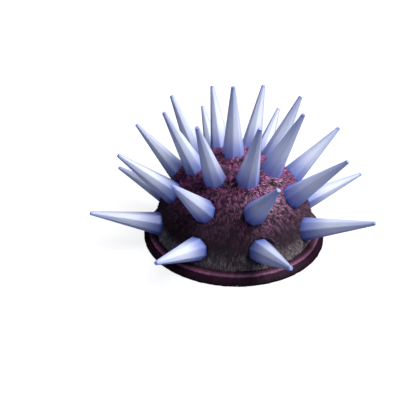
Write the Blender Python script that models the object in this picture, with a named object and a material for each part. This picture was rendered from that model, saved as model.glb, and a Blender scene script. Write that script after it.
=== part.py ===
"""A sea urchin as a still, life-size model: a domed shell with three tiers of stout spines.

Metres, +Z up, and -Y is the side that faces the viewer. The shell is divided into its plates,
each with the spine that it carries, and stands on the flat ring of its under side.
"""

import math
import random

import bmesh
import bpy
from mathutils import Matrix, Vector

MM = 0.001

# The dome is part of a ball. Its radius is that of the short coat over the shell.
DOME_RADIUS = 40.0 * MM
DOME_CENTRE_HEIGHT = 2.4 * MM
# Gap that touching plates keep, and the level of the seam between the dome and the under side.
SEAM = 0.3 * MM
DOME_FOOT = 4.7 * MM
# The lowest plates start this far below the ball's waist, because the shell leans, and are cut level.
FOOT_DEPTH = 4.0 * MM

# Stout spines stand in eight columns of three, and one stands at the top.
COLUMNS = 8
COLUMN_STEP = math.radians(360 / COLUMNS)
FIRST_COLUMN = math.radians(-25.6)
TIER_RISE = {"ambital": math.radians(18.9), "shoulder": math.radians(42.6), "crown": math.radians(64.0)}
APICAL_RISE = math.radians(89.9)
# The spines spread from a point below the ball's centre, and the whole rose of them leans back.
SPREAD_DROP = 4.4 * MM
LEAN_BACK = math.radians(3.3)
LEAN_LEFT = math.radians(1.1)

# A stout spine is a cone with eight flat sides. It widens until it is inside its plate, where its
# root draws in. Radii are those of its corners.
SPINE_SIDES = 8
SPINE_LENGTH = 32.5 * MM
SPINE_BASE_RADIUS = 5.6 * MM
SPINE_BASE_DEPTH = 1.3 * MM
SPINE_ROOT_RADIUS = 2.6 * MM
SPINE_ROOT_DEPTH = 5.0 * MM
TIP_RADIUS = 0.95 * MM
TIP_FLAT_RADIUS = 0.6 * MM
TIP_ROUNDING = 0.7 * MM
# Each spine turns and varies a little, with a seed that keeps it close to its column and tier.
SPINE_SWAY = math.radians(0.5)
SPINE_SIZE_VARIES = 0.02
SPINE_SEED = 5442

# Where the seams between tiers run: angle above the ball's waist, and depth of the slanted part.
SEAM_RISE = {"ambital": math.radians(26.0), "shoulder": math.radians(50.3), "crown": math.radians(75.5)}
SEAM_REACH = {"ambital": 0.55, "shoulder": 0.62, "crown": 0.75}
PLATE_STEPS = 6
ARC_STEPS = 5
LID_STEPS = 3
LID_SIDES = 24
LID_TOP_RISE = math.radians(89.0)

# Top plates: five small raised plates round the spine at the top, one of them larger.
TOP_PLATES = 5
TOP_PLATE_RISE = math.radians(78.6)
TOP_PLATE_RADIUS = 1.5 * MM
SIEVE_PLATE_RADIUS = 1.9 * MM
TOP_PLATE_SIDES = 6
# Share of the plate's radius, and height, from its root to its top.
TOP_PLATE_SECTION = ((0.8, -1.2 * MM), (1.0, 0.15 * MM), (0.6, 0.55 * MM))

# Margin of the shell: a flat ring on the floor with two rows of flattened spines.
RING_INNER = 33.0 * MM
RING_OUTER = 40.4 * MM
RING_TOP = 4.4 * MM
UPPER_ROW = 9
LOWER_ROW = 8
# Stations of a flattened spine: distance from the axis, height, half width, half thickness.
UPPER_STATIONS = (
    (37.8 * MM, 3.65 * MM, 1.20 * MM, 0.50 * MM),
    (40.9 * MM, 3.85 * MM, 1.64 * MM, 0.52 * MM),
    (42.2 * MM, 3.85 * MM, 1.58 * MM, 0.42 * MM),
)
LOWER_STATIONS = (
    (38.6 * MM, 2.55 * MM, 1.35 * MM, 0.85 * MM),
    (42.3 * MM, 2.35 * MM, 1.88 * MM, 1.05 * MM),
    (44.4 * MM, 1.45 * MM, 2.02 * MM, 0.85 * MM),
    (45.3 * MM, 0.72 * MM, 1.80 * MM, 0.45 * MM),
)
# A flattened spine's upper side is a little narrower than its lower side.
UPPER_SIDE_SHARE = 0.9

# Under side: five plates round the soft ring of the mouth.
ORAL_SECTORS = 5
ORAL_FLOOR = 1.4 * MM
ORAL_SPINE_ROWS = ((16.0 * MM, 2), (21.5 * MM, 3), (27.0 * MM, 4))
ORAL_SPINE_RADIUS = 0.8 * MM
ORAL_SPINE_TIP_RADIUS = 0.36 * MM
ORAL_SPINE_TIP = 0.3 * MM
ORAL_SPINE_ROOT = 2.2 * MM
ORAL_SPINE_SIDES = 5

# Mouth: a soft ring, and inside it the jaws with five teeth that meet at the middle.
MOUTH_SIDES = 30
MOUTH_RING_OUTER = 12.3 * MM
MOUTH_RING_FLOOR = 1.6 * MM
MOUTH_OPENING = 4.2 * MM
MOUTH_LIP_HEIGHT = 2.4 * MM
MOUTH_FOLD_HEIGHT = 2.2 * MM
JAW_SIDES = 15
JAW_FLOOR = 2.5 * MM
JAW_BEVEL = 0.6 * MM
JAW_FLOOR_SHARE = 0.75
TEETH = 5
# Stations of a tooth: distance from the axis, height, half width across, half depth.
TOOTH_STATIONS = (
    (2.50 * MM, 3.30 * MM, 0.75 * MM, 0.68 * MM),
    (1.38 * MM, 0.45 * MM, 0.26 * MM, 0.24 * MM),
)

SHARP_EDGE = math.radians(35)
COLOURS = {
    "coat": ((0.20, 0.045, 0.15, 1.0), 0.75),
    "spine": ((0.55, 0.60, 0.88, 1.0), 0.35),
    "margin": ((0.09, 0.02, 0.07, 1.0), 0.6),
    "mouth": ((0.35, 0.20, 0.24, 1.0), 0.6),
    "tooth": ((0.85, 0.82, 0.74, 1.0), 0.3),
}


def clear_scene():
    for old in list(bpy.data.objects):
        bpy.data.objects.remove(old)


def material(name):
    found = bpy.data.materials.get(name)
    if found:
        return found
    colour, roughness = COLOURS[name]
    made = bpy.data.materials.new(name)
    made.use_nodes = True
    shader = made.node_tree.nodes["Principled BSDF"]
    shader.inputs["Base Color"].default_value = colour
    shader.inputs["Roughness"].default_value = roughness
    shader.inputs["Metallic"].default_value = 0.0
    return made


def closed_object(name, points, faces, finish):
    """A closed mesh, with its faces turned outwards, as a named object."""
    mesh = bpy.data.meshes.new(name)
    mesh.from_pydata([tuple(point) for point in points], [], faces)
    mesh.validate()
    work = bmesh.new()
    work.from_mesh(mesh)
    bmesh.ops.recalc_face_normals(work, faces=work.faces)
    work.to_mesh(mesh)
    work.free()
    mesh.materials.append(material(finish))
    made = bpy.data.objects.new(name, mesh)
    bpy.context.scene.collection.objects.link(made)
    return made


def skin_rings(name, rings, finish, closed=False):
    """Skins rings of as many points each. Both ends are capped, or the last ring meets the first."""
    sides = len(rings[0])
    points = [point for ring in rings for point in ring]
    faces = []
    spans = len(rings) if closed else len(rings) - 1
    for row in range(spans):
        low = row * sides
        high = (row + 1) % len(rings) * sides
        for side in range(sides):
            after = (side + 1) % sides
            faces.append((low + side, low + after, high + after, high + side))
    if not closed:
        faces.append(tuple(range(sides)))
        faces.append(tuple(range(len(points) - sides, len(points))))
    return closed_object(name, points, faces, finish)


def lathe(name, profile, sides, finish, closed=False):
    """Turns (radius, height) pairs round Z. A closed profile makes a ring with a hole."""
    turns = [2 * math.pi * side / sides for side in range(sides)]
    rings = []
    for radius, height in profile:
        rings.append([(radius * math.cos(turn), radius * math.sin(turn), height) for turn in turns])
    return skin_rings(name, rings, finish, closed)


def outward(azimuth):
    """Flat direction at an azimuth counted from -Y, the viewer's side, towards +X."""
    return Vector((math.sin(azimuth), -math.cos(azimuth), 0.0))


def raised(azimuth, rise):
    """Direction at an azimuth and at an angle above the level."""
    return outward(azimuth) * math.cos(rise) + Vector((0, 0, math.sin(rise)))


def stand_along(made, root, direction):
    """Moves an object that was built upright on the origin to a root, along a direction."""
    turn = Vector((0, 0, 1)).rotation_difference(direction).to_matrix().to_4x4()
    made.data.transform(Matrix.Translation(root) @ turn)


def sector(name, outline, middle, half, steps, finish):
    """A wedge of a turned shape: a closed outline swept between two upright planes.

    Each plane stands half a seam inside the sector's own edge, so neighbours keep a whole seam.
    """
    nearest = SEAM / 2 / math.sin(half)
    points = []
    rows = []
    for radius, height in outline:
        if radius <= nearest:
            rows.append([len(points)] * (steps + 1))
            points.append(outward(middle) * nearest + Vector((0, 0, height)))
            continue
        limit = half - math.asin(SEAM / 2 / radius)
        rows.append(list(range(len(points), len(points) + steps + 1)))
        for step in range(steps + 1):
            angle = middle - limit + 2 * limit * step / steps
            points.append(outward(angle) * radius + Vector((0, 0, height)))
    faces = []
    for row, following in zip(rows, rows[1:] + rows[:1]):
        for step in range(steps):
            corners = [row[step], row[step + 1], following[step + 1], following[step]]
            kept = list(dict.fromkeys(corners))
            if len(kept) > 2:
                faces.append(kept)
    faces.append([row[0] for row in rows])
    faces.append([row[-1] for row in reversed(rows)])
    return closed_object(name, points, faces, finish)


def place_on_dome(made):
    """Leans an object that was built about the ball's centre, and moves it to where the dome stands."""
    lean = Matrix.Rotation(-LEAN_BACK, 4, "X") @ Matrix.Rotation(-LEAN_LEFT, 4, "Y")
    made.data.transform(Matrix.Translation((0, 0, DOME_CENTRE_HEIGHT)) @ lean)


def arc(low, high, steps):
    """Points of the dome's section between two angles above its waist."""
    angles = [low + (high - low) * step / steps for step in range(steps + 1)]
    return [(DOME_RADIUS * math.cos(a), DOME_RADIUS * math.sin(a)) for a in angles]


def seam_line(tier, side):
    """The two inner points of a seam, seen from the plate on its side: +1 above it, -1 below it."""
    rise = SEAM_RISE[tier]
    reach = SEAM_REACH[tier] * DOME_RADIUS
    shift = side * SEAM / 2
    knee = (reach * math.cos(rise) - shift * math.sin(rise), reach * math.sin(rise) + shift)
    return [knee, (0.0, knee[1])]


def seam_angle(tier, side):
    return SEAM_RISE[tier] + side * SEAM / 2 / DOME_RADIUS


def plate_outline(below, above):
    """Section of the plates between two seams, or of the lowest plates, with their foot."""
    if below is None:
        start = math.asin(-FOOT_DEPTH / DOME_RADIUS)
        inner = [(0.0, -FOOT_DEPTH)]
    else:
        start = seam_angle(below, 1)
        inner = list(reversed(seam_line(below, 1)))
    return arc(start, seam_angle(above, -1), ARC_STEPS) + seam_line(above, -1) + inner


def spine_root(rise, azimuth):
    """Where a spine's line leaves the dome, from the ball's centre, and its direction."""
    direction = raised(azimuth, rise)
    start = Vector((0, 0, -SPREAD_DROP))
    along = start.dot(direction)
    reach = -along + math.sqrt(along * along - start.length_squared + DOME_RADIUS**2)
    return start + direction * reach, direction


def stout_spine(rise, azimuth, luck):
    """One stout spine with its root, a little longer, thicker or more turned than the next."""
    sway_up = luck.uniform(-1, 1) * SPINE_SWAY
    sway_round = luck.uniform(-1, 1) * SPINE_SWAY
    length = SPINE_LENGTH * (1 + luck.uniform(-1, 1) * SPINE_SIZE_VARIES)
    radius = SPINE_BASE_RADIUS * (1 + luck.uniform(-1, 1) * SPINE_SIZE_VARIES)
    profile = [
        (SPINE_ROOT_RADIUS, -SPINE_ROOT_DEPTH),
        (radius, -SPINE_BASE_DEPTH),
        (TIP_RADIUS, length - TIP_ROUNDING),
        (TIP_FLAT_RADIUS, length),
    ]
    made = lathe("spine", profile, SPINE_SIDES, "spine")
    stand_along(made, *spine_root(rise + sway_up, azimuth + sway_round))
    return made


def connected_faces(mesh):
    """The faces of each separate closed surface in a bmesh."""
    seen = set()
    bodies = []
    for face in mesh.faces:
        if face in seen:
            continue
        seen.add(face)
        body = []
        waiting = [face]
        while waiting:
            here = waiting.pop()
            body.append(here)
            for edge in here.edges:
                for other in edge.link_faces:
                    if other not in seen:
                        seen.add(other)
                        waiting.append(other)
        bodies.append(body)
    return bodies


def body_volume(body):
    total = 0.0
    for face in body:
        corners = [vertex.co for vertex in face.verts]
        for second, third in zip(corners[1:], corners[2:]):
            total += corners[0].dot(second.cross(third)) / 6
    return total


def keep_largest_body(mesh):
    """Keeps the closed surface with the most volume, and drops scraps and sealed hollows."""
    work = bmesh.new()
    work.from_mesh(mesh)
    bodies = sorted(connected_faces(work), key=body_volume)
    dropped = [face for body in bodies[:-1] for face in body]
    bmesh.ops.delete(work, geom=dropped, context="FACES")
    work.to_mesh(mesh)
    work.free()


def apply_boolean(base, operation, **target):
    """Applies one exact Boolean to an object and keeps its largest body."""
    modifier = base.modifiers.new("boolean", "BOOLEAN")
    modifier.operation = operation
    modifier.solver = "EXACT"
    for setting, value in target.items():
        setattr(modifier, setting, value)
    graph = bpy.context.evaluated_depsgraph_get()
    result = bpy.data.meshes.new_from_object(base.evaluated_get(graph))
    base.modifiers.clear()
    base.data = result
    keep_largest_body(result)


def join(base, pieces):
    """Joins closed pieces to their base by one Boolean union."""
    group = bpy.data.collections.new(base.name + "_pieces")
    bpy.context.scene.collection.children.link(group)
    for piece in pieces:
        bpy.context.scene.collection.objects.unlink(piece)
        group.objects.link(piece)
    apply_boolean(base, "UNION", operand_type="COLLECTION", collection=group)
    for piece in list(group.objects):
        bpy.data.objects.remove(piece)
    bpy.data.collections.remove(group)
    base.data.shade_smooth()
    base.data.set_sharp_from_angle(angle=SHARP_EDGE)


def cut_level(made, level):
    """Cuts away what lies below a level, with a block a little larger than the dome."""
    size = 4 * DOME_RADIUS
    mesh = bpy.data.meshes.new("foot_cutter")
    work = bmesh.new()
    bmesh.ops.create_cube(work, size=size)
    work.to_mesh(mesh)
    work.free()
    mesh.transform(Matrix.Translation((0, 0, level - size / 2)))
    cutter = bpy.data.objects.new("foot_cutter", mesh)
    bpy.context.scene.collection.objects.link(cutter)
    apply_boolean(made, "DIFFERENCE", object=cutter)
    bpy.data.objects.remove(cutter)


def dome_plates(luck):
    """Three tiers of eight plates, each with its stout spine."""
    for tier, below in (("ambital", None), ("shoulder", "ambital"), ("crown", "shoulder")):
        outline = plate_outline(below, tier)
        for column in range(COLUMNS):
            azimuth = FIRST_COLUMN + column * COLUMN_STEP
            name = f"{tier}_plate_{column + 1}"
            plate = sector(name, outline, azimuth, COLUMN_STEP / 2, PLATE_STEPS, "coat")
            join(plate, [stout_spine(TIER_RISE[tier], azimuth, luck)])
            place_on_dome(plate)
            if below is None:
                cut_level(plate, DOME_FOOT)


def top_plate(azimuth, radius):
    """One small raised plate near the top of the dome."""
    profile = [(radius * share, height) for share, height in TOP_PLATE_SECTION]
    made = lathe("top_plate", profile, TOP_PLATE_SIDES, "coat")
    direction = raised(azimuth, TOP_PLATE_RISE)
    stand_along(made, direction * DOME_RADIUS, direction)
    return made


def apical_disc(luck):
    """The round lid at the top of the shell, with its spine and five small plates."""
    profile = seam_line("crown", 1)[:1] + arc(seam_angle("crown", 1), LID_TOP_RISE, LID_STEPS)
    lid = lathe("apical_disc", profile, LID_SIDES, "coat")
    pieces = [stout_spine(APICAL_RISE, FIRST_COLUMN, luck)]
    for number in range(TOP_PLATES):
        radius = SIEVE_PLATE_RADIUS if number == 0 else TOP_PLATE_RADIUS
        pieces.append(top_plate(FIRST_COLUMN + number * 2 * math.pi / TOP_PLATES, radius))
    join(lid, pieces)
    place_on_dome(lid)


def across(azimuth):
    """Level direction at a right angle to an azimuth's outward direction."""
    return Vector((math.cos(azimuth), math.sin(azimuth), 0.0))


def flat_spine(stations, azimuth):
    """A flattened spine of the margin, four-sided, along stations in the upright plane of its azimuth."""
    side = across(azimuth)
    rings = []
    for distance, height, half_width, half_thickness in stations:
        middle = outward(azimuth) * distance + Vector((0, 0, height))
        up = Vector((0, 0, half_thickness))
        wide = side * half_width
        narrow = wide * UPPER_SIDE_SHARE
        rings.append([middle - wide - up, middle + wide - up, middle + narrow + up, middle - narrow + up])
    return skin_rings("flat_spine", rings, "margin")


def margin():
    """The ring that the shell stands on, in eight lengths, each with its flattened spines."""
    outline = [(RING_INNER, 0.0), (RING_OUTER, 0.0), (RING_OUTER, RING_TOP), (RING_INNER, RING_TOP)]
    for number in range(COLUMNS):
        middle = FIRST_COLUMN + number * COLUMN_STEP
        length = sector(f"margin_{number + 1}", outline, middle, COLUMN_STEP / 2, PLATE_STEPS, "margin")
        pieces = []
        for count, stations in ((UPPER_ROW, UPPER_STATIONS), (LOWER_ROW, LOWER_STATIONS)):
            for place in range(count):
                azimuth = middle + COLUMN_STEP * ((place + 0.5) / count - 0.5)
                pieces.append(flat_spine(stations, azimuth))
        join(length, pieces)


def oral_spine(distance, azimuth):
    """A short spine of the under side, pointing down."""
    profile = [(ORAL_SPINE_TIP_RADIUS, ORAL_SPINE_TIP), (ORAL_SPINE_RADIUS, ORAL_SPINE_ROOT)]
    made = lathe("oral_spine", profile, ORAL_SPINE_SIDES, "margin")
    made.data.transform(Matrix.Translation(outward(azimuth) * distance))
    return made


def under_side():
    """Five plates between the standing ring and the mouth."""
    half = math.pi / ORAL_SECTORS
    outer = RING_INNER - SEAM
    outline = [
        (MOUTH_RING_OUTER, ORAL_FLOOR),
        (outer, ORAL_FLOOR),
        (outer, RING_TOP),
        (MOUTH_RING_OUTER, RING_TOP),
    ]
    for number in range(ORAL_SECTORS):
        middle = FIRST_COLUMN + number * 2 * half
        plate = sector(f"oral_plate_{number + 1}", outline, middle, half, PLATE_STEPS, "margin")
        pieces = []
        for distance, count in ORAL_SPINE_ROWS:
            for place in range(count):
                azimuth = middle + 2 * half * ((place + 0.5) / count - 0.5)
                pieces.append(oral_spine(distance, azimuth))
        join(plate, pieces)


def mouth_ring():
    """The soft ring round the mouth, a little higher towards the opening."""
    edge = MOUTH_RING_OUTER - SEAM
    outline = [
        (MOUTH_OPENING, MOUTH_LIP_HEIGHT),
        ((MOUTH_OPENING + edge) / 2, MOUTH_FOLD_HEIGHT),
        (edge, MOUTH_RING_FLOOR),
        (edge, RING_TOP),
        (MOUTH_OPENING, RING_TOP),
    ]
    lathe("mouth_ring", outline, MOUTH_SIDES, "mouth", closed=True)


def tooth(azimuth):
    """One tooth, four-sided, that comes down and in from the jaws."""
    rings = []
    for distance, height, half_width, half_depth in TOOTH_STATIONS:
        middle = outward(azimuth) * distance + Vector((0, 0, height))
        wide = across(azimuth) * half_width
        deep = outward(azimuth) * half_depth
        rings.append([middle - wide - deep, middle + wide - deep, middle + wide + deep, middle - wide + deep])
    return skin_rings("tooth", rings, "tooth")


def jaws():
    """The jaws in the mouth's opening, with five teeth that meet at the middle."""
    radius = MOUTH_OPENING - SEAM
    profile = [(radius * JAW_FLOOR_SHARE, JAW_FLOOR), (radius, JAW_FLOOR + JAW_BEVEL), (radius, RING_TOP)]
    made = lathe("jaws", profile, JAW_SIDES, "mouth")
    join(made, [tooth(FIRST_COLUMN + number * 2 * math.pi / TEETH) for number in range(TEETH)])


def centre_on_box():
    """Shifts the model sideways so that its origin is under the middle of its own box."""
    corners = [vertex.co for made in bpy.data.objects for vertex in made.data.vertices]
    shift = Vector((0, 0, 0))
    for axis in range(2):
        values = [corner[axis] for corner in corners]
        shift[axis] = -(min(values) + max(values)) / 2
    for made in bpy.data.objects:
        made.data.transform(Matrix.Translation(shift))


def main():
    clear_scene()
    luck = random.Random(SPINE_SEED)
    dome_plates(luck)
    apical_disc(luck)
    margin()
    under_side()
    mouth_ring()
    jaws()
    centre_on_box()


main()
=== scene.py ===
"""Looks of the sea urchin: skin, coat of fine spines, stout spines, margin, mouth, and a studio.

Lengths are metres, +Z is up and -Y is the side that faces the viewer. Every piece is built about
the dome's own upright axis and then moved to where the frame has that axis.
"""

import math
import random

import bmesh
import bpy
import numpy as np
from bpy.props import FloatProperty, FloatVectorProperty, IntProperty, PointerProperty
from bpy.types import Operator, Panel, PropertyGroup
from mathutils import Matrix, Vector, noise


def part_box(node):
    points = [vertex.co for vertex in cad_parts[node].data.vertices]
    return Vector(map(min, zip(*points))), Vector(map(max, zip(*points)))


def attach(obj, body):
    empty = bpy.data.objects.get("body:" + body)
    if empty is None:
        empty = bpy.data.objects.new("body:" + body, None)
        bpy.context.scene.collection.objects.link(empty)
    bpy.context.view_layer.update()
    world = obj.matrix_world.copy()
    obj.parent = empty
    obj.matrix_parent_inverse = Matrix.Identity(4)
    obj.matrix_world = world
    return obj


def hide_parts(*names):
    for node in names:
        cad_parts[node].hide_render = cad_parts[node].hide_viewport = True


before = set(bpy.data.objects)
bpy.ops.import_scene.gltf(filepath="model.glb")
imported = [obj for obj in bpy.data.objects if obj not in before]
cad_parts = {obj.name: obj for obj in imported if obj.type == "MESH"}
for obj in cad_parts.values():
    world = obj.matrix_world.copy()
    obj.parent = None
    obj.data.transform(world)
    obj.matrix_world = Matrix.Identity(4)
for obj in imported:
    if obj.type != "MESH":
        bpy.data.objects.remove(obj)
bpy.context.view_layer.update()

bl_info = {
    "name": "Sea urchin model",
    "version": (1, 0, 0),
    "blender": (4, 5, 0),
    "location": "3D View > Sidebar > Sea urchin",
    "description": "Dresses the frame of a life-size sea urchin with skin, spines, margin and mouth",
    "category": "Add Mesh",
}

MM = 0.001
FULL_TURN = 2 * math.pi
# Points round the skin, and rows of them down the dome.
SKIN_SIDES = 252
DOME_STEPS = 104
# A point of a profile nearer to the axis than this is a pole.
POLE = 1e-9
# Widest angle between faces that counts as soft, and the size of a patch in the bake map.
SOFT_ANGLE = math.radians(28)
PATCH = 0.003
# Width of the edge where the coat thins out beside a spine. Near the top the coat also grows this far
# over a spine's foot, and leans this much away from the spine, which is towards it.
BARE_EDGE = 0.4 * MM
CROWN_OVERLAP = 0.7 * MM
CROWN_PARTING = -0.38


def nodes_named(*starts):
    """Names of the frame's nodes that begin with one of the given words."""
    return sorted(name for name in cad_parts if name.startswith(starts))


def mm(*rows):
    """Rows of lengths in millimetres, as an array in metres."""
    return np.array(rows) * MM


DOME_NODES = nodes_named("crown_plate", "shoulder_plate", "ambital_plate", "apical_disc")
MARGIN_NODES = nodes_named("margin_")
ORAL_NODES = nodes_named("oral_plate")


def common_box(names):
    """Lowest and highest corner round several of the frame's nodes."""
    corners = [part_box(name) for name in names]
    low = [min(corner[0][axis] for corner in corners) for axis in range(3)]
    high = [max(corner[1][axis] for corner in corners) for axis in range(3)]
    return Vector(low), Vector(high)


MARGIN_LOW, MARGIN_HIGH = common_box(MARGIN_NODES)
# The dome's upright axis stands in the middle of the margin, on the floor.
AXIS = Vector(((MARGIN_LOW.x + MARGIN_HIGH.x) / 2, (MARGIN_LOW.y + MARGIN_HIGH.y) / 2, 0.0))
MARGIN_REACH = (MARGIN_HIGH.x - MARGIN_LOW.x) / 2
MOUTH_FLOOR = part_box("mouth_ring")[0].z
JAW_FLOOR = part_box("jaws")[0].z
ORAL_FLOOR = MOUTH_FLOOR - 0.2 * MM
RING_TOP = MARGIN_HIGH.z


def length_property(name, description, millimetres):
    return FloatProperty(
        name=name, description=description, default=millimetres * MM, unit="LENGTH", precision=5
    )


def angle_property(name, description, degrees):
    return FloatProperty(
        name=name, description=description, default=math.radians(degrees), unit="ROTATION"
    )


def count_property(name, description, default):
    return IntProperty(name=name, description=description, default=default, min=1)


def number_property(name, description, default):
    return FloatProperty(name=name, description=description, default=default)


def colour_property(name, description, default):
    return FloatVectorProperty(
        name=name, description=description, default=default, size=3, subtype="COLOR", min=0.0, max=1.0
    )


class UrchinShell(PropertyGroup):
    """Sizes of the dome and of its under side."""

    dome_radius: length_property("Dome radius", "Radius of the ball that the coat's tips reach", 40)
    centre_height: length_property("Centre height", "Height of that ball's centre over the floor", 2.4)
    coat_depth: length_property("Coat depth", "How far the skin lies inside the tips of the coat", 1.6)
    foot_height: length_property("Foot height", "Height where the dome meets the margin", 4.7)
    lean_back: angle_property("Lean back", "Turn of the rose of spines away from the viewer", 3.3)
    lean_left: angle_property("Lean left", "Turn of the rose of spines to the viewer's left", 1.1)
    mound_width: length_property("Mound width", "Reach of a socket mound round a stout spine", 2.6)
    mound_height: length_property("Mound height", "Height of a lower socket mound over the skin", 0.2)
    crown_mound_height: length_property("Crown mound height", "Height of a mound near the top", 1.2)
    ring_inner: length_property("Inner ring", "Inner radius of the ring that the shell stands on", 33.0)
    ring_outer: length_property("Outer ring", "Outer radius of the ring that the shell stands on", 40.2)
    top_plates: count_property("Top plates", "Small raised plates round the top spine", 5)
    top_plate_rise: angle_property("Top plates' rise", "Rise of the small plates at the top", 78.6)
    top_plate_radius: length_property("Top plate radius", "Radius of a small plate at the top", 1.5)
    sieve_plate_radius: length_property("Sieve plate radius", "Radius of the largest top plate", 1.9)


class UrchinSpines(PropertyGroup):
    """Sizes and places of the stout spines."""

    columns: count_property("Columns", "Columns of stout spines round the dome", 8)
    first_column: angle_property("First column", "Azimuth of the first column from the viewer", -25.6)
    ambital_rise: angle_property("Lowest tier", "Rise of the lowest tier's spines", 18.9)
    shoulder_rise: angle_property("Middle tier", "Rise of the middle tier's spines", 42.6)
    crown_rise: angle_property("Top tier", "Rise of the top tier's spines", 64.0)
    apical_rise: angle_property("Top spine", "Rise of the single spine at the top", 89.9)
    spread_drop: length_property("Spread drop", "How far under the ball's centre they spread from", 4.4)
    length: length_property("Length", "Length of a stout spine over the coat", 32.5)
    radius: length_property("Radius", "Radius of a stout spine's corners inside the coat", 5.6)
    base_depth: length_property("Base depth", "Depth under the coat's tips where that radius is", 1.3)
    root_depth: length_property("Root depth", "Depth under the coat's tips where a spine ends", 2.9)
    tip_radius: length_property("Tip radius", "Radius at a stout spine's blunt tip", 0.95)
    facets: count_property("Facets", "Flat sides along a stout spine", 8)
    flatness: number_property("Flatness", "How flat the sides are at the base, from 0 to 1", 0.95)
    shaft_flatness: number_property("Shaft flatness", "How flat the sides are along the shaft", 0.75)
    sway: angle_property("Sway", "Most that a spine turns from its column and tier", 0.5)
    size_varies: number_property("Size varies", "Share that a spine's sizes vary by", 0.02)
    seed: count_property("Seed", "Seed of the stout spines' variation", 5442)


class UrchinCoat(PropertyGroup):
    """Sizes of the coat of fine spines."""

    spacing: length_property("Spacing", "Least distance between the roots of two fine spines", 0.205)
    density: number_property("Density", "Most fine spines on a square metre", 1.5e7)
    shortest: length_property("Shortest", "Length of the shortest fine spines", 1.6)
    longest: length_property("Longest", "Length of the longest fine spines", 2.5)
    thickness: length_property("Thickness", "Radius at the root of a fine spine", 0.155)
    lean: number_property("Lean", "Lean of the fine spines down the dome", 1.2)
    ruffle: number_property("Ruffle", "How much the lie of the coat wanders", 0.25)
    ruffle_size: length_property("Ruffle size", "Size of the patches that lie one way", 3.0)
    parting: length_property("Parting", "Width round a stout spine where the coat leans away", 1.8)
    smoothness: number_property("Smoothness", "How far the coat takes the dome's shade, from 0 to 1", 0.75)
    parts: count_property("Parts", "Parts that the coat is divided into", 6)
    seed: count_property("Seed", "Seed of the coat", 11)


class UrchinUnderSide(PropertyGroup):
    """Sizes of the short spines of the under side."""

    spacing: length_property("Spacing", "Least distance between the roots of two spines", 1.15)
    density: number_property("Density", "Most spines on a square metre", 3.0e6)
    shortest: length_property("Shortest", "Length of the shortest spines", 0.85)
    longest: length_property("Longest", "Length of the longest spines", 1.15)
    thickness: length_property("Thickness", "Radius at the root of a spine", 0.42)
    lean: number_property("Lean", "Lean of the spines down the skin", 0.35)
    ruffle: number_property("Ruffle", "How much the lie of the spines wanders", 0.8)
    ruffle_size: length_property("Ruffle size", "Size of the patches that lie one way", 6.0)
    seed: count_property("Seed", "Seed of the under side", 31)


class UrchinMargin(PropertyGroup):
    """Counts and variation of the flattened spines of the margin."""

    upper_count: count_property("Upper row", "Flattened spines in the upper row", 144)
    lower_count: count_property("Lower row", "Flattened spines in the lower row", 128)
    sway: angle_property("Sway", "Most that a flattened spine turns from its place", 0.06)
    size_varies: number_property("Size varies", "Share that a flattened spine's width varies by", 0.03)
    seed: count_property("Seed", "Seed of the margin's variation", 23)


class UrchinMouth(PropertyGroup):
    """Sizes of the mouth."""

    ring_radius: length_property("Soft ring", "Radius of the soft ring round the mouth", 12.3)
    opening: length_property("Opening", "Radius of the opening of the mouth", 4.2)
    teeth: count_property("Teeth", "Teeth round the mouth", 5)
    wrinkles: count_property("Wrinkles", "Folds round the soft ring", 46)
    feet: count_property("Feet", "Tube feet on the soft ring", 10)
    seed: count_property("Seed", "Seed of the teeth and the tube feet", 31)


class UrchinColours(PropertyGroup):
    """Colours of the urchin."""

    magenta: colour_property("Magenta", "Coat at the top of the dome", (0.250, 0.040, 0.170))
    plum: colour_property("Plum", "Coat lower down", (0.054, 0.010, 0.037))
    olive: colour_property("Grey olive", "Coat at the margin", (0.270, 0.240, 0.225))
    night: colour_property("Night", "Dark specks of the coat", (0.005, 0.003, 0.005))
    spine_base: colour_property("Spine base", "Stout spine at its base", (0.115, 0.170, 0.550))
    spine_middle: colour_property("Spine middle", "Stout spine along its middle", (0.730, 0.780, 0.940))
    spine_tip: colour_property("Spine tip", "Stout spine at its tip", (0.380, 0.450, 0.880))
    brim_light: colour_property("Light brim", "Upper row of the margin", (0.190, 0.064, 0.125))
    brim_dark: colour_property("Dark brim", "Lower row of the margin", (0.018, 0.006, 0.015))
    flesh: colour_property("Flesh", "Soft ring round the mouth", (0.160, 0.060, 0.085))
    tooth: colour_property("Tooth", "Teeth", (0.760, 0.720, 0.620))
    floor: colour_property("Floor", "Floor of the studio", (0.25, 0.25, 0.25))


class UrchinStudio(PropertyGroup):
    """Camera and lights."""

    elevation: angle_property("Elevation", "Height angle of the camera seen from the dome's foot", 33.53)
    distance: length_property("Distance", "Camera's distance from the dome's foot", 292.5)
    look_left: length_property("Look left", "How far left of the dome's axis the camera looks", 12.0)
    look_up: length_property("Look up", "Height that the camera looks at", 12.2)
    lens: number_property("Lens", "Focal length in millimetres", 48.93)
    key_power: number_property("Key", "Power of the key light in watts", 83.0)
    fill_power: number_property("Fill", "Power of the fill light in watts", 2.2)
    table_power: number_property("Table", "Power of the light under the floor in watts", 9.0)
    lamp_size: length_property("Lamp size", "Width of each round lamp", 2000)
    lamp_distance: length_property("Lamp distance", "Distance of each lamp from the dome", 2200)
    lamp_aim: length_property("Lamp aim", "Height on the dome's axis that the lamps point at", 15)
    world: number_property("World", "Strength of the light from all round", 0.17)
    floor_glow: number_property("Floor glow", "Glow of the floor, as of a lit table", 0.84)


GROUPS = {
    "urchin_shell": UrchinShell,
    "urchin_spines": UrchinSpines,
    "urchin_coat": UrchinCoat,
    "urchin_under_side": UrchinUnderSide,
    "urchin_margin": UrchinMargin,
    "urchin_mouth": UrchinMouth,
    "urchin_colours": UrchinColours,
    "urchin_studio": UrchinStudio,
}


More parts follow.
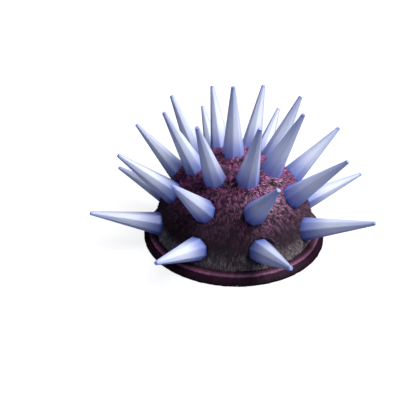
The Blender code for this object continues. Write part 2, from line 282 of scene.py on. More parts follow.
def raised(azimuth, rise):
    """Direction at an azimuth counted from -Y towards +X, and at an angle above the level."""
    flat = Vector((math.sin(azimuth), -math.cos(azimuth), 0.0))
    return flat * math.cos(rise) + Vector((0, 0, math.sin(rise)))


def smooth_share(values):
    """Eases shares from 0 to 1, as an array."""
    clipped = np.clip(values, 0.0, 1.0)
    return clipped * clipped * (3 - 2 * clipped)


def smooth_line(stations, steps):
    """A rounded line through stations, as an array with a number of steps between each two."""
    given = np.array(stations, float)
    padded = np.vstack([2 * given[0] - given[1], given, 2 * given[-1] - given[-2]])
    shares = np.arange(steps)[:, None] / steps
    line = []
    for before, start, end, after in zip(padded, padded[1:], padded[2:], padded[3:]):
        slope = (end - before) / 2
        curve = before - 2.5 * start + 2 * end - after / 2
        twist = (3 * start - before - 3 * end + after) / 2
        line.append(start + slope * shares + curve * shares**2 + twist * shares**3)
    return np.vstack([*line, given[-1:]])


def new_object(name, mesh):
    made = bpy.data.objects.new(name, mesh)
    bpy.context.scene.collection.objects.link(made)
    return made


def mesh_from(name, points, faces):
    """A smooth-shaded mesh with its faces turned outwards."""
    mesh = bpy.data.meshes.new(name)
    mesh.from_pydata([tuple(point) for point in points], [], faces)
    work = bmesh.new()
    work.from_mesh(mesh)
    bmesh.ops.recalc_face_normals(work, faces=work.faces)
    work.to_mesh(mesh)
    work.free()
    mesh.shade_smooth()
    return mesh


def turned_grid(profile, sides):
    """Points and faces of a profile of (radius, height) turned round Z. A radius of 0 is a pole."""
    angles = np.arange(sides) * FULL_TURN / sides
    points = []
    rows = []
    for radius, height in profile:
        if radius < POLE:
            rows.append([len(points)] * sides)
            points.append((0.0, 0.0, height))
            continue
        rows.append(list(range(len(points), len(points) + sides)))
        points += [(radius * math.sin(a), -radius * math.cos(a), height) for a in angles]
    faces = []
    for row, following in zip(rows, rows[1:]):
        for side in range(sides):
            after = (side + 1) % sides
            corners = (row[side], row[after], following[after], following[side])
            faces.append(tuple(dict.fromkeys(corners)))
    return np.array(points), faces


def lofted(name, rings):
    """A closed smooth object through rings of as many points each, with both ends capped."""
    sides = len(rings[0])
    points = [point for ring in rings for point in ring]
    faces = [tuple(range(sides)), tuple(range(len(points) - sides, len(points)))]
    for low in range(0, len(points) - sides, sides):
        for side in range(sides):
            after = (side + 1) % sides
            faces.append((low + side, low + after, low + sides + after, low + sides + side))
    return new_object(name, mesh_from(name, points, faces))


def azimuths(points):
    return np.arctan2(points[:, 0], -points[:, 1])


def reaches(points):
    return np.hypot(points[:, 0], points[:, 1])


def store(mesh, name, values):
    """Keeps one number for each point of a mesh under a name."""
    attribute = mesh.attributes.new(name, "FLOAT", "POINT")
    attribute.data.foreach_set("value", np.asarray(values, np.float32))


def stored(mesh, name):
    """Numbers that a mesh keeps under a name."""
    values = np.zeros(len(mesh.vertices), np.float32)
    mesh.attributes[name].data.foreach_get("value", values)
    return values


def finish_piece(made, replaced=()):
    """Sets a finished piece on the root body and hides the frame's nodes that it stands for."""
    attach(made, "root")
    if replaced:
        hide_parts(*replaced)


def remove(*made):
    """Removes templates and hosts that are no part of the model."""
    for spare in made:
        bpy.data.objects.remove(spare)


class Nodes:
    """Writes a node tree. A socket is given a number, a colour, or another node's output."""

    def __init__(self, tree):
        self.tree = tree

    def add(self, kind, inputs=None, output=0, **settings):
        """Adds a node and returns one of its outputs."""
        node = self.tree.nodes.new(kind)
        node.location.x = 190 * len(self.tree.nodes)
        for setting, value in settings.items():
            setattr(node, setting, value)
        for socket, value in (inputs or {}).items():
            if isinstance(value, bpy.types.NodeSocket):
                self.tree.links.new(value, node.inputs[socket])
            else:
                node.inputs[socket].default_value = value
        return node.outputs[output]

    def math(self, operation, *values):
        return self.add("ShaderNodeMath", dict(enumerate(values)), operation=operation)

    def vector(self, operation, *values, output=0):
        return self.add("ShaderNodeVectorMath", dict(enumerate(values)), output, operation=operation)

    def scaled(self, vector, factor):
        return self.add("ShaderNodeVectorMath", {0: vector, 3: factor}, operation="SCALE")

    def share(self, value, start, end, low=0.0, high=1.0):
        """Maps a value from start..end to low..high, eased and held at both ends."""
        inputs = {"Value": value, 1: start, 2: end, 3: low, 4: high}
        return self.add("ShaderNodeMapRange", inputs, interpolation_type="SMOOTHSTEP")

    def mix(self, share, first, second, blend="MIX"):
        inputs = {0: share, 6: first, 7: second}
        return self.add("ShaderNodeMix", inputs, 2, data_type="RGBA", blend_type=blend)

    def shaded(self, colour, tone):
        """A colour made darker or lighter by a tone, which leaves it alone where it is 1."""
        return self.mix(1.0, colour, tone, "MULTIPLY")

    def noise(self, place, size, detail=2.0, roughness=0.5):
        """Noise whose patches are about as large as the given size."""
        inputs = {"Vector": place, "Scale": 1 / size, "Detail": detail, "Roughness": roughness}
        return self.add("ShaderNodeTexNoise", inputs)

    def bump(self, height, distance):
        return self.add("ShaderNodeBump", {"Height": height, "Distance": distance})

    def kept(self, name, output="Fac"):
        """What a mesh keeps under a name."""
        return self.add("ShaderNodeAttribute", output=output, attribute_name=name)


class GrowthTree(Nodes):
    """A Geometry Nodes tree with named inputs, which ends in Realize Instances and Set Material."""

    def __init__(self, name):
        super().__init__(bpy.data.node_groups.new(name, "GeometryNodeTree"))
        self.tree.interface.new_socket("Geometry", in_out="OUTPUT", socket_type="NodeSocketGeometry")
        self.entry = self.tree.nodes.new("NodeGroupInput")
        self.host = self.input("Geometry", "Geometry")

    def input(self, name, kind):
        self.tree.interface.new_socket(name, in_out="INPUT", socket_type="NodeSocket" + kind)
        return self.entry.outputs[name]

    def numbers(self, *names):
        """Inputs that each hold one number."""
        return [self.input(name, "Float") for name in names]

    def random(self, low, high, seed, step):
        """A number for each place, from the tree's seed moved on by a step."""
        inputs = {2: low, 3: high, "Seed": self.math("ADD", seed, step)}
        return self.add("FunctionNodeRandomValue", inputs, 1, data_type="FLOAT")

    def attribute(self, name, kind="FLOAT"):
        return self.add("GeometryNodeInputNamedAttribute", {"Name": name}, data_type=kind)

    def combined(self, **parts):
        """A vector from its X, Y and Z parts."""
        return self.add("ShaderNodeCombineXYZ", parts)

    def keep(self, geometry, name, value, kind="FLOAT", domain="POINT"):
        inputs = {"Geometry": geometry, "Name": name, "Value": value}
        return self.add("GeometryNodeStoreNamedAttribute", inputs, data_type=kind, domain=domain)

    def copies(self, points, template, rotation, scale, **more):
        """Copies of a template object on points."""
        shape = self.add("GeometryNodeObjectInfo", {"Object": template}, "Geometry")
        inputs = {"Points": points, "Instance": shape, "Rotation": rotation, "Scale": scale, **more}
        return self.add("GeometryNodeInstanceOnPoints", inputs)

    def solid(self, instances):
        return self.add("GeometryNodeRealizeInstances", {"Geometry": instances})

    def end(self, geometry, material):
        dressed = self.add("GeometryNodeSetMaterial", {"Geometry": geometry, "Material": material})
        exit_node = self.tree.nodes.new("NodeGroupOutput")
        self.tree.links.new(dressed, exit_node.inputs["Geometry"])
        return self.tree


def coat_tree():
    """Scatters small spines over a skin, leaning down it, each with its own place in the bake map."""
    tree = GrowthTree("fine_spine_coat")
    template = tree.input("Spine", "Object")
    grows_where = tree.input("Grows where", "String")
    spacing, density, shortest, longest = tree.numbers("Spacing", "Density", "Shortest", "Longest")
    thickness, lean, ruffle, ruffle_size = tree.numbers("Thickness", "Lean", "Ruffle", "Ruffle size")
    first_row, last_row, parts, part = tree.numbers("First row", "Last row", "Parts", "Part")
    centre = tree.input("Centre", "Vector")
    seed = tree.input("Seed", "Int")
    material = tree.input("Material", "Material")
    # How far a spine strays from the lie of its patch, how strongly it leans away from a stout spine,
    # how much shorter it is there, and the span of its width.
    stray = 0.30
    parting = 1.5
    shorter_by = 0.4
    narrowest, widest = 0.75, 1.2

    inputs = {"Mesh": tree.host, "Distance Min": spacing, "Density Max": density, "Seed": seed}
    inputs["Density Factor"] = tree.attribute(grows_where)
    points = tree.add("GeometryNodeDistributePointsOnFaces", inputs, distribute_method="POISSON")
    normal = points.node.outputs["Normal"]
    place = tree.add("GeometryNodeInputPosition")
    from_centre = tree.vector("SUBTRACT", place, centre)

    # Each part of the coat keeps the spines whose roots are in its share of the full turn.
    sides = tree.add("ShaderNodeSeparateXYZ", {0: from_centre}).node.outputs
    azimuth = tree.math("ARCTAN2", sides["X"], sides["Y"])
    turned = tree.math("FRACT", tree.math("ADD", tree.math("DIVIDE", azimuth, FULL_TURN), 1.0))
    along_parts = tree.math("MULTIPLY", turned, parts)
    in_part = tree.math("COMPARE", tree.math("FLOOR", along_parts), part, 0.5)

    # Root's place on an unwrap of the skin: its azimuth, and its way down the skin's profile.
    way_down = tree.math("SUBTRACT", tree.attribute("down_profile"), first_row)
    row_share = tree.math("DIVIDE", way_down, tree.math("SUBTRACT", last_row, first_row))
    used, border = 0.96, 0.02
    across_map = tree.math("MULTIPLY_ADD", tree.math("FRACT", along_parts), used, border)
    up_map = tree.math("MULTIPLY_ADD", row_share, used, border)
    rooted = tree.keep(points, "root_map", tree.combined(X=across_map, Y=up_map), "FLOAT2")
    rooted = tree.keep(rooted, "root_place", place, "FLOAT_VECTOR")
    rooted = tree.keep(rooted, "ball_normal", tree.vector("NORMALIZE", from_centre), "FLOAT_VECTOR")

    # Lie of a spine: out from the skin, down it, wandering from patch to patch, and away from a
    # stout spine that is near.
    floorward = (0.0, 0.0, -1.0)
    inward_part = tree.scaled(normal, tree.vector("DOT_PRODUCT", normal, floorward, output="Value"))
    downhill = tree.vector("SUBTRACT", floorward, inward_part)
    inputs = {"Vector": place, "Scale": tree.math("DIVIDE", 1.0, ruffle_size), "Detail": 3.0}
    patches = tree.add("ShaderNodeTexNoise", inputs, "Color")
    wander = tree.scaled(tree.vector("SUBTRACT", patches, (0.5, 0.5, 0.5)), ruffle)
    inputs = {0: (-stray,) * 3, 1: (stray,) * 3, "Seed": seed}
    own_way = tree.add("FunctionNodeRandomValue", inputs, 0, data_type="FLOAT_VECTOR")
    away = tree.attribute("away", "FLOAT_VECTOR")
    free = tree.math("SUBTRACT", 1.0, tree.vector("LENGTH", away, output="Value"))
    freely = tree.vector("ADD", tree.vector("ADD", downhill, wander), own_way)
    sideways = tree.scaled(freely, tree.math("MULTIPLY", lean, free))
    sideways = tree.vector("ADD", sideways, tree.scaled(away, parting))
    direction = tree.vector("NORMALIZE", tree.vector("ADD", normal, sideways))
    rotation = tree.add(
        "FunctionNodeAxesToRotation", {0: direction, 1: normal}, primary_axis="Z", secondary_axis="X"
    )
    width = tree.math("MULTIPLY", thickness, tree.random(narrowest, widest, seed, 2.0))
    beside = tree.math("MULTIPLY_ADD", free, shorter_by, 1 - shorter_by)
    height = tree.math("MULTIPLY", tree.random(shortest, longest, seed, 1.0), beside)
    scale = tree.combined(X=width, Y=width, Z=height)
    instances = tree.copies(rooted, template, rotation, scale, Selection=in_part)
    instances = tree.keep(instances, "shade", tree.random(0.0, 1.0, seed, 3.0), domain="INSTANCE")
    solid = tree.solid(instances)
    root_map, patch = (tree.attribute(name, "FLOAT_VECTOR") for name in ("root_map", "patch"))
    solid = tree.keep(solid, "OFBake", tree.vector("ADD", root_map, patch), "FLOAT2", "CORNER")
    for spare in ("root_map", "patch"):
        solid = tree.add("GeometryNodeRemoveAttribute", {"Geometry": solid, "Name": spare})
    return tree.end(solid, material)


def ring_tree():
    """Sets copies of a shape evenly round the dome's axis, each a little larger or smaller."""
    tree = GrowthTree("ring_of_shapes")
    template = tree.input("Shape", "Object")
    count = tree.input("Count", "Int")
    first, sway, varies = tree.numbers("First azimuth", "Sway", "Size varies")
    seed = tree.input("Seed", "Int")
    material = tree.input("Material", "Material")
    points = tree.add("GeometryNodePoints", {"Count": count})
    step = tree.math("DIVIDE", FULL_TURN, count)
    angle = tree.math("MULTIPLY_ADD", tree.add("GeometryNodeInputIndex"), step, first)
    wobble = tree.math("MULTIPLY", tree.random(-1.0, 1.0, seed, 0.0), sway)
    turn = tree.combined(Z=tree.math("ADD", angle, wobble))
    rotation = tree.add("FunctionNodeEulerToRotation", {0: turn})
    wide = tree.math("MULTIPLY_ADD", tree.random(-1.0, 1.0, seed, 1.0), varies, 1.0)
    # The reach from the axis varies far less than the width.
    reach_varies = tree.math("MULTIPLY", varies, 0.08)
    deep = tree.math("MULTIPLY_ADD", tree.random(-1.0, 1.0, seed, 2.0), reach_varies, 1.0)
    instances = tree.copies(points, template, rotation, tree.combined(X=wide, Y=deep, Z=1.0))
    instances = tree.keep(instances, "shade", tree.random(0.0, 1.0, seed, 3.0), domain="INSTANCE")
    return tree.end(tree.solid(instances), material)


def socket_tree():
    """Sets a shape on each point of a mesh, along the point's direction and at its own size."""
    tree = GrowthTree("shapes_on_sockets")
    template = tree.input("Shape", "Object")
    material = tree.input("Material", "Material")
    points = tree.add("GeometryNodeMeshToPoints", {"Mesh": tree.host})
    width = tree.attribute("width")
    scale = tree.combined(X=width, Y=width, Z=tree.attribute("stretch"))
    direction = tree.attribute("direction", "FLOAT_VECTOR")
    rotation = tree.add("FunctionNodeAlignRotationToVector", {"Vector": direction}, axis="Z")
    return tree.end(tree.solid(tree.copies(points, template, rotation, scale)), material)


def grow(name, host, tree, settings):
    """Runs a tree on a host object and keeps its result as a plain mesh object."""
    modifier = host.modifiers.new("growth", "NODES")
    modifier.node_group = tree
    for item in tree.interface.items_tree:
        if item.in_out == "INPUT" and item.name in settings:
            modifier[item.identifier] = settings[item.name]
    graph = bpy.context.evaluated_depsgraph_get()
    mesh = bpy.data.meshes.new_from_object(
        host.evaluated_get(graph), preserve_all_data_layers=True, depsgraph=graph
    )
    host.modifiers.remove(modifier)
    if not mesh.polygons:
        raise RuntimeError(f"{name} came out empty")
    mesh.name = name
    return new_object(name, mesh)


def move_to_axis(made):
    """Moves a piece's mesh from the dome's own axis to where the frame has it."""
    made.data.transform(Matrix.Translation(AXIS))
    return made


def fine_spine_settings(sizes, skin, where, centre, material):
    """Inputs of the coat's tree: a group's sizes, and the rows of the skin that the spines cover."""
    rows = stored(skin.data, "down_profile")[stored(skin.data, where) > 0]
    settings = {
        "Spine": fine_spine_template(),
        "Grows where": where,
        "First row": float(rows.min()),
        "Last row": float(rows.max()),
        "Parts": 1.0,
        "Part": 0.0,
        "Centre": centre,
        "Material": material,
    }
    lengths = ("spacing", "density", "shortest", "longest", "thickness")
    for size in (*lengths, "lean", "ruffle", "ruffle_size", "seed"):
        settings[size.replace("_", " ").capitalize()] = getattr(sizes, size)
    return settings


def ring_of(name, template, count, material, seed, first=0.0, sway=0.0, varies=0.0):
    """Copies of a template evenly round the dome's axis, as one piece. The template is removed."""
    host = new_object("ring_host", bpy.data.meshes.new("ring_host"))
    settings = {
        "Shape": template,
        "Count": count,
        "First azimuth": first,
        "Sway": sway,
        "Size varies": varies,
        "Seed": seed,
        "Material": material,
    }
    made = grow(name, host, ring_tree(), settings)
    remove(template, host)
    return move_to_axis(made)


def stand_on_sockets(name, places, template, material):
    """Copies of a template on places of (tier, root, direction, stretch, width), as one piece."""
    mesh = bpy.data.meshes.new("sockets")
    mesh.from_pydata([tuple(place[1]) for place in places], [], [])
    directions = mesh.attributes.new("direction", "FLOAT_VECTOR", "POINT")
    directions.data.foreach_set("vector", [value for place in places for value in place[2]])
    store(mesh, "stretch", [place[3] for place in places])
    store(mesh, "width", [place[4] for place in places])
    host = new_object("sockets", mesh)
    made = grow(name, host, socket_tree(), {"Shape": template, "Material": material})
    remove(host)
    return move_to_axis(made)


def opaque(colour):
    return (colour[0], colour[1], colour[2], 1.0)


def make_material(name, write, **fixed):
    """A material whose writer links nodes to sockets, with other values set on the shader itself."""
    made = bpy.data.materials.new(name)
    made.use_nodes = True
    shader = made.node_tree.nodes["Principled BSDF"]
    nodes = Nodes(made.node_tree)
    place = nodes.add("ShaderNodeTexCoord", output="Object")
    for socket, output in write(nodes, place).items():
        made.node_tree.links.new(output, shader.inputs[socket])
    for socket, value in fixed.items():
        shader.inputs[socket.replace("_", " ")].default_value = value
    return made


def grained(nodes, place, colour, size, tones, roughness, depth, detail=4.0, harshness=0.6):
    """Colour, roughness and relief that vary together in patches of a size."""
    grain = nodes.noise(place, size, detail, harshness)
    return {
        "Base Color": nodes.shaded(colour, nodes.share(grain, 0.3, 0.7, *tones)),
        "Roughness": nodes.share(grain, 0.3, 0.7, *roughness),
        "Normal": nodes.bump(grain, depth),
    }


def coat_markings_and_shade(nodes, place):
    """Colour of skin and coat by place: magenta at the top, plum lower down and darker still there with
    painted shade, grey-olive at the foot.

    Also gives how glossy the markings are, from 0 in a dark streak or speck and low down to 1.
    """
    colours = bpy.context.scene.urchin_colours
    # Heights between which one marking, or the painted shade low down, gives way to the next.
    plum_to_magenta = (15 * MM, 41 * MM)
    painted_shade_low_to_clear = (11 * MM, 26 * MM)
    dull_to_glossy = (10 * MM, 27 * MM)
    coat_to_foot = (15.5 * MM, 7.5 * MM)
    streak_size = 0.60 * MM
    speck_size = 1.3 * MM
    magenta, plum, olive, night = map(
        opaque, (colours.magenta, colours.plum, colours.olive, colours.night)
    )
    height = nodes.add("ShaderNodeSeparateXYZ", {0: place}, "Z")
    broad = nodes.math("SUBTRACT", nodes.noise(place, 12 * MM), 0.5)
    wavy = nodes.math("MULTIPLY_ADD", broad, 10 * MM, height)
    colour = nodes.mix(nodes.share(wavy, *plum_to_magenta), plum, magenta)
    # Painted shade: lower down, the colour is darkened to about a quarter, as though less light reached
    # it.
    colour = nodes.shaded(colour, nodes.share(wavy, *painted_shade_low_to_clear, 0.24, 1.0))
    at_foot = nodes.share(wavy, *coat_to_foot)
    colour = nodes.mix(at_foot, colour, olive)
    # Streaks and specks are longer up and down than across, and fainter at the foot.
    drawn_out = nodes.vector("MULTIPLY", place, (1.0, 1.0, 0.6))
    streaks = nodes.share(nodes.noise(drawn_out, streak_size, 3.0, 0.6), 0.40, 0.60)
    darkest = nodes.share(at_foot, 0.0, 1.0, 0.06, 0.55)
    lightest = nodes.share(at_foot, 0.0, 1.0, 1.8, 1.2)
    colour = nodes.shaded(colour, nodes.share(streaks, 0.0, 1.0, darkest, lightest))
    specks = nodes.share(nodes.noise(drawn_out, speck_size, 1.0, 0.4), 0.535, 0.560)
    specks = nodes.math("MULTIPLY", specks, nodes.share(at_foot, 0.0, 1.0, 1.0, 0.4))
    gloss = nodes.math("MULTIPLY", streaks, nodes.math("SUBTRACT", 1.0, specks))
    gloss = nodes.math("MULTIPLY", gloss, nodes.share(wavy, *dull_to_glossy))
    return nodes.mix(specks, colour, night), gloss


def coat_material():
    """Each fine spine takes the marking and painted shade at its own root, and painted shade makes it
    darker at the root than at the tip.
    """
    # Tone of the darkest fine spine, what the lightest adds to it, and how few come near the lightest.
    darkest = 0.35
    lighter_by = 1.9
    rarity = 1.7
    dull, glossy = 1.0, 0.30

    def write(nodes, place):
        along = nodes.kept("along")
        shade = nodes.math("POWER", nodes.kept("shade"), rarity)
        light = nodes.math("MULTIPLY_ADD", shade, lighter_by, darkest)
        # Painted shade: each fine spine darkens towards its root, where its neighbours would shade it.
        tone = nodes.math("MULTIPLY", light, nodes.share(along, 0.0, 0.9, 0.35, 1.2))
        marked_and_shaded, gloss = coat_markings_and_shade(nodes, nodes.kept("root_place", "Vector"))
        shine = nodes.math("MULTIPLY", nodes.share(along, 0.0, 1.0, 0.5, 1.0), gloss)
        rough = nodes.share(shine, 0.0, 0.9, dull, glossy)
        return {"Base Color": nodes.shaded(marked_and_shaded, tone), "Roughness": rough}

    tint = (1.0, 0.72, 0.93, 1.0)
    return make_material("coat_fine_spines", write, Specular_IOR_Level=1.0, IOR=1.75, Specular_Tint=tint)


def skin_material():
    """The coat's markings and painted shade on skin, darker in its pores."""

    def write(nodes, place):
        colour = coat_markings_and_shade(nodes, place)[0]
        grain = {"size": 0.5 * MM, "tones": (0.25, 0.7), "roughness": (0.6, 0.85)}
        return grained(nodes, place, colour, **grain, depth=0.15 * MM, detail=3.0, harshness=0.5)

    return make_material("skin", write, Specular_IOR_Level=0.3)


def stout_spine_material():
    """Pearly blue: deep blue at the base, almost white along the middle, lavender at the tip."""
    colours = bpy.context.scene.urchin_colours
    facets = bpy.context.scene.urchin_spines.facets
    # Shares of the way along a spine between which one colour gives way to the next.
    base_to_middle = (0.0, 0.42)
    shaft_to_foot = (0.05, -0.04)
    middle_to_tip = (0.5, 1.0)
    shaft_to_point = (0.93, 1.0)
    # Waves of the fine streaks round a spine and along it.
    streak_waves = (110.0, 7.0, 1.0)

    def write(nodes, place):
        wrap = nodes.add("ShaderNodeUVMap", uv_map="wrap")
        parts = nodes.add("ShaderNodeSeparateXYZ", {0: wrap}).node.outputs
        cloud = nodes.math("SUBTRACT", nodes.noise(place, 5 * MM, 3.0), 0.5)
        uneven = nodes.math("MULTIPLY_ADD", cloud, 0.06, parts["Y"])
        base, middle, tip = map(opaque, (colours.spine_base, colours.spine_middle, colours.spine_tip))
        colour = nodes.mix(nodes.share(uneven, *base_to_middle, 0.85, 0.0), middle, base)
        colour = nodes.mix(nodes.share(uneven, *shaft_to_foot), colour, base)
        colour = nodes.mix(nodes.share(uneven, *middle_to_tip, 0.0, 0.5), colour, tip)
        colour = nodes.mix(nodes.share(uneven, *shaft_to_point), colour, tip)
        # The edges between the flat sides are a little bluer.
        wave = nodes.math("COSINE", nodes.math("MULTIPLY", parts["X"], FULL_TURN * facets))
        colour = nodes.mix(nodes.share(wave, 0.70, 1.0, 0.0, 0.18), colour, tip)
        stretched = nodes.vector("MULTIPLY", wrap, streak_waves)
        streaks = nodes.add("ShaderNodeTexNoise", {"Vector": stretched, "Scale": 1.0, "Detail": 3.0})
        colour = nodes.shaded(colour, nodes.share(streaks, 0.25, 0.75, 0.90, 1.04))
        rough = nodes.share(streaks, 0.2, 0.8, 0.34, 0.48)
        return {"Base Color": colour, "Roughness": rough, "Normal": nodes.bump(streaks, 0.04 * MM)}

    sheen = {"Sheen_Weight": 0.8, "Sheen_Roughness": 0.35, "Sheen_Tint": (0.22, 0.34, 1.0, 1.0)}
    return make_material("stout_spine", write, Specular_IOR_Level=0.5, **sheen)


def margin_material(name, root_colour, tip_colour, specular):
    """Satin plum, each flattened spine a little lighter or darker than the next."""

    def write(nodes, place):
        along = nodes.share(nodes.kept("along"), 0.2, 0.95)
        colour = nodes.mix(along, opaque(root_colour), opaque(tip_colour))
        colour = nodes.shaded(colour, nodes.share(nodes.kept("shade"), 0.0, 1.0, 0.84, 1.16))
        grain = {"size": 0.45 * MM, "tones": (0.82, 1.15), "roughness": (0.42, 0.62)}
        return grained(nodes, place, colour, **grain, depth=0.05 * MM, detail=3.0)

    return make_material(name, write, Specular_IOR_Level=specular)


def plain_material(name, colour, size, depth, roughness, specular, spread=0.35, **fixed):
    """A colour that varies in patches of a size, with a bump of a depth."""

    def write(nodes, place):
        tones = (1 - spread, 1 + spread)
        return grained(nodes, place, opaque(colour), size, tones, (roughness, roughness + 0.15), depth)

    return make_material(name, write, Specular_IOR_Level=specular, **fixed)


def lean_matrix(shell):
    return Matrix.Rotation(-shell.lean_back, 3, "X") @ Matrix.Rotation(-shell.lean_left, 3, "Y")


def spine_root(shell, spines, rise, azimuth):
    """Where a stout spine's line leaves the dome, from the ball's centre, and its direction."""
    direction = raised(azimuth, rise)
    start = Vector((0, 0, -spines.spread_drop))
    along = start.dot(direction)
    reach = -along + math.sqrt(along * along - start.length_squared + shell.dome_radius**2)
    return start + direction * reach, direction


def spine_places():
    """Each stout spine's tier, root, direction, stretch and width, as in the frame."""
    shell = bpy.context.scene.urchin_shell
    spines = bpy.context.scene.urchin_spines
    lean = lean_matrix(shell)
    centre = Vector((0, 0, shell.centre_height))
    luck = random.Random(spines.seed)
    wanted = []
    for tier in ("ambital", "shoulder", "crown"):
        for column in range(spines.columns):
            azimuth = spines.first_column + column * FULL_TURN / spines.columns
            wanted.append((tier, getattr(spines, tier + "_rise"), azimuth))
    wanted.append(("apical", spines.apical_rise, spines.first_column))
    places = []
    for tier, rise, azimuth in wanted:
        sway_up = luck.uniform(-1, 1) * spines.sway
        sway_round = luck.uniform(-1, 1) * spines.sway
        stretch = 1 + luck.uniform(-1, 1) * spines.size_varies
        width = 1 + luck.uniform(-1, 1) * spines.size_varies
        root, direction = spine_root(shell, spines, rise + sway_up, azimuth + sway_round)
        places.append((tier, centre + lean @ root, lean @ direction, stretch, width))
    return places


def top_plate_places():
    """Each small top plate's kind, place, direction, stretch and width. The first is the sieve plate."""
    shell = bpy.context.scene.urchin_shell
    first = bpy.context.scene.urchin_spines.first_column
    lean = lean_matrix(shell)
    centre = Vector((0, 0, shell.centre_height))
    places = []
    for number in range(shell.top_plates):
        direction = lean @ raised(first + number * FULL_TURN / shell.top_plates, shell.top_plate_rise)
        width = shell.sieve_plate_radius / shell.top_plate_radius if number == 0 else 1.0
        places.append(("top_plate", centre + direction * shell.dome_radius, direction, 1.0, width))
    return places


def skin_profile(shell, mouth):
    """Way of the skin from the top of the dome, over the margin's core, to the roof of the mouth."""
    radius = shell.dome_radius - shell.coat_depth
    foot = math.asin((shell.foot_height - shell.centre_height) / radius)
    angles = np.linspace(math.pi / 2, foot, DOME_STEPS + 1)
    dome = np.stack([radius * np.cos(angles), shell.centre_height + radius * np.sin(angles)], 1)
    outer = shell.ring_outer
    inner = shell.ring_inner
    edge = mouth.ring_radius
    wall = [
        tuple(dome[-1]),
        (radius + 0.3 * MM, RING_TOP - 0.5 * MM),
        (outer, RING_TOP - 1.3 * MM),
        (outer, 0.9 * MM),
        (outer - 0.5 * MM, 0.15 * MM),
        (outer - 1.3 * MM, 0.0),
    ]
    sole = [
        wall[-1],
        (inner + 1.2 * MM, 0.0),
        (inner + 0.35 * MM, 0.25 * MM),
        (inner - 0.25 * MM, ORAL_FLOOR),
        (inner - 1.6 * MM, ORAL_FLOOR + 0.1 * MM),
    ]
    under = [
        sole[-1],
        (edge + 1.0 * MM, ORAL_FLOOR + 0.1 * MM),
        (edge, ORAL_FLOOR + 0.5 * MM),
        (edge - 0.3 * MM, RING_TOP - 0.6 * MM),
        (0.0, RING_TOP - 0.3 * MM),
    ]
    rounded = [smooth_line(line, steps)[1:] for line, steps in ((wall, 5), (sole, 6), (under, 12))]
    profile = np.vstack([dome, *rounded])
    profile[[0, -1], 0] = 0.0
    return np.maximum(profile, 0.0)


def build_skin():
    """One closed skin with a low mound under each stout spine, and where the coat grows on it."""
    shell = bpy.context.scene.urchin_shell
    spines = bpy.context.scene.urchin_spines
    mouth = bpy.context.scene.urchin_mouth
    parting = bpy.context.scene.urchin_coat.parting
    profile = skin_profile(shell, mouth)
    points, faces = turned_grid(profile, SKIN_SIDES)
    stretches = np.linalg.norm(np.diff(profile, axis=0), axis=1)
    way = np.concatenate([[0.0], np.cumsum(stretches)])
    row_sizes = np.where(profile[:, 0] < POLE, 1, SKIN_SIDES)
    down_profile = np.repeat(way / way[-1], row_sizes)

    outwards = points - np.array((0.0, 0.0, shell.centre_height))
    outwards /= np.linalg.norm(outwards, axis=1)[:, None]
    foot_edge = 0.6 * MM
    on_dome = smooth_share((points[:, 2] - shell.foot_height + foot_edge) / foot_edge)
    grows = on_dome.copy()
    lift = np.zeros(len(points))
    away = np.zeros((len(points), 3))
    for kind, root, direction, _, width in spine_places() + top_plate_places():
        axis = np.array(direction)
        offset = points - np.array(root)
        along = offset @ axis
        outward = offset - np.outer(along, axis)
        apart = np.linalg.norm(outward, axis=1)
        this_side = along > -shell.dome_radius / 2
        covered = (shell.top_plate_radius if kind == "top_plate" else spines.radius) * width
        at_top = kind in ("crown", "apical")
        overlap = CROWN_OVERLAP if at_top else 0.0
        bare = smooth_share((apart - covered + overlap) / BARE_EDGE)
        grows = np.where(this_side, np.minimum(grows, bare), grows)
        if kind != "top_plate":
            share = smooth_share(1 - (apart - covered) / shell.mound_width)
            high = shell.crown_mound_height if at_top else shell.mound_height
            lift = np.where(this_side, np.maximum(lift, share * high), lift)
            lean_away = CROWN_PARTING if at_top else 1.0
            near = this_side * smooth_share(1 - (apart - covered) / parting) * lean_away
            away += outward * (near / np.maximum(apart, covered))[:, None]
    points = points + outwards * (lift * on_dome)[:, None]
    mesh = mesh_from("skin", points, faces)
    leans = mesh.attributes.new("away", "FLOAT_VECTOR", "POINT")
    leans.data.foreach_set("vector", away.astype(np.float32).ravel())
    store(mesh, "down_profile", down_profile)
    store(mesh, "coat_grows", grows)
    reach = reaches(points)
    low = points[:, 2] < ORAL_FLOOR + 0.4 * MM
    edge = 0.8 * MM
    oral = low & (reach > mouth.ring_radius + edge) & (reach < shell.ring_inner - edge)
    store(mesh, "oral_spines_grow", oral.astype(float))
    mesh.materials.append(skin_material())
    return move_to_axis(new_object("skin", mesh))


def fine_spine_template():
    """A four-sided spine of height 1 and root radius 1, bent a little, with its patch of the map."""
    sides = 4
    # Levels of the spine: height, radius and bend.
    levels = ((0.0, 1.0, 0.0), (0.5, 0.82, -0.25), (1.0, 0.22, -1.0))
    work = bmesh.new()
    patch = work.loops.layers.uv.new("patch")
    along = work.verts.layers.float.new("along")
    rows = []
    for height, radius, bend in levels:
        row = []
        for side in range(sides):
            angle = FULL_TURN * side / sides
            vertex = work.verts.new((radius * math.cos(angle) + bend, radius * math.sin(angle), height))
            vertex[along] = height
            row.append(vertex)
        rows.append(row)
    for level in range(len(levels) - 1):
        for side in range(sides):
            after = (side + 1) % sides
            low, high = rows[level], rows[level + 1]
            face = work.faces.new((low[side], low[after], high[after], high[side]))
            shares = ((side, level), (side + 1, level), (side + 1, level + 1), (side, level + 1))
            for loop, (across, up) in zip(face.loops, shares):
                up_share = up / (len(levels) - 1)
                loop[patch].uv = (PATCH * (across / sides - 0.5), PATCH * (up_share - 0.5))
    cap = work.faces.new(rows[-1])
    for loop in cap.loops:
        loop[patch].uv = (0.0, PATCH / 2)
    mesh = bpy.data.meshes.new("fine_spine_template")
    work.to_mesh(mesh)
    work.free()
    mesh.shade_smooth()
    return new_object("fine_spine_template", mesh)


